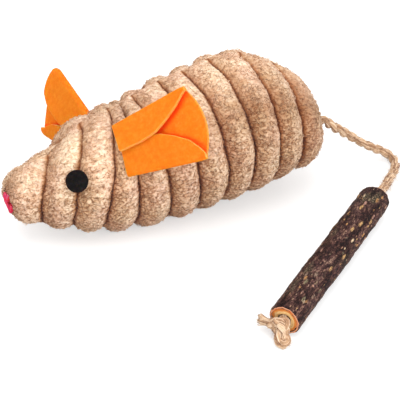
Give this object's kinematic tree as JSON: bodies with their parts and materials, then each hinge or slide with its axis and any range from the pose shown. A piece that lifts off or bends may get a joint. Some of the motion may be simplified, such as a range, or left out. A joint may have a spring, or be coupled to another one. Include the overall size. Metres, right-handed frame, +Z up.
{
  "type": "plush toy mouse",
  "caption": "Stuffed wide-wale plush mouse for a cat, with folded felt ears that flap and a twine tail that swings and carries a sliding chew stick held by a knot.",
  "frame": {"origin": "on the flattened belly under the middle of the body, at the height of the surface that the toy lies on", "axes": "+Z up, +X along the body from the nose to the tail, and the mouse's left side towards -Y"},
  "size_m": [0.1487, 0.1308, 0.0556],
  "materials": {
    "plush": "matte",
    "filling": "matte",
    "orange_felt": "matte",
    "black_felt": "matte",
    "pink_felt": "matte",
    "twine": "matte",
    "bark": "matte",
    "wood": "satin"
  },
  "bodies": {
    "root": {"plush_panel_left": "plush", "plush_panel_right": "plush", "stuffing": "filling", "tail_anchor_knot": "twine", "eye_left": "black_felt", "eye_right": "black_felt", "nose_patch": "pink_felt"},
    "ear_left": {"ear_left": "orange_felt"},
    "ear_right": {"ear_right": "orange_felt"},
    "tail": {"tail_cord": "twine", "end_knot": "twine"},
    "stick": {"stick_bark": "bark", "stick_wood": "wood"}
  },
  "joints": [
    {"name": "ear_left_flap", "type": "hinge", "parent": "root", "child": "ear_left", "pos_m": [-0.02545, -0.01375, 0.03383], "axis": [0.069, -0.6732, -0.7362], "range_deg": [-4, 70], "stiffness_Nm_per_rad": 0.002},
    {"name": "ear_right_flap", "type": "hinge", "parent": "root", "child": "ear_right", "pos_m": [-0.02961, 0.01909, 0.02263], "axis": [0.317, -0.0063, 0.9484], "range_deg": [-42, 35], "stiffness_Nm_per_rad": 0.002},
    {"name": "tail_swing", "type": "hinge", "parent": "root", "child": "tail", "pos_m": [0.05294, 0.00025, 0.02134], "axis": [0, 0, 1], "range_deg": [-25, 75]},
    {"name": "stick_slide", "type": "slide", "parent": "tail", "child": "stick", "axis": [0.788, 0.6157, 0.0058], "range_m": [0, 0.005]}
  ]
}
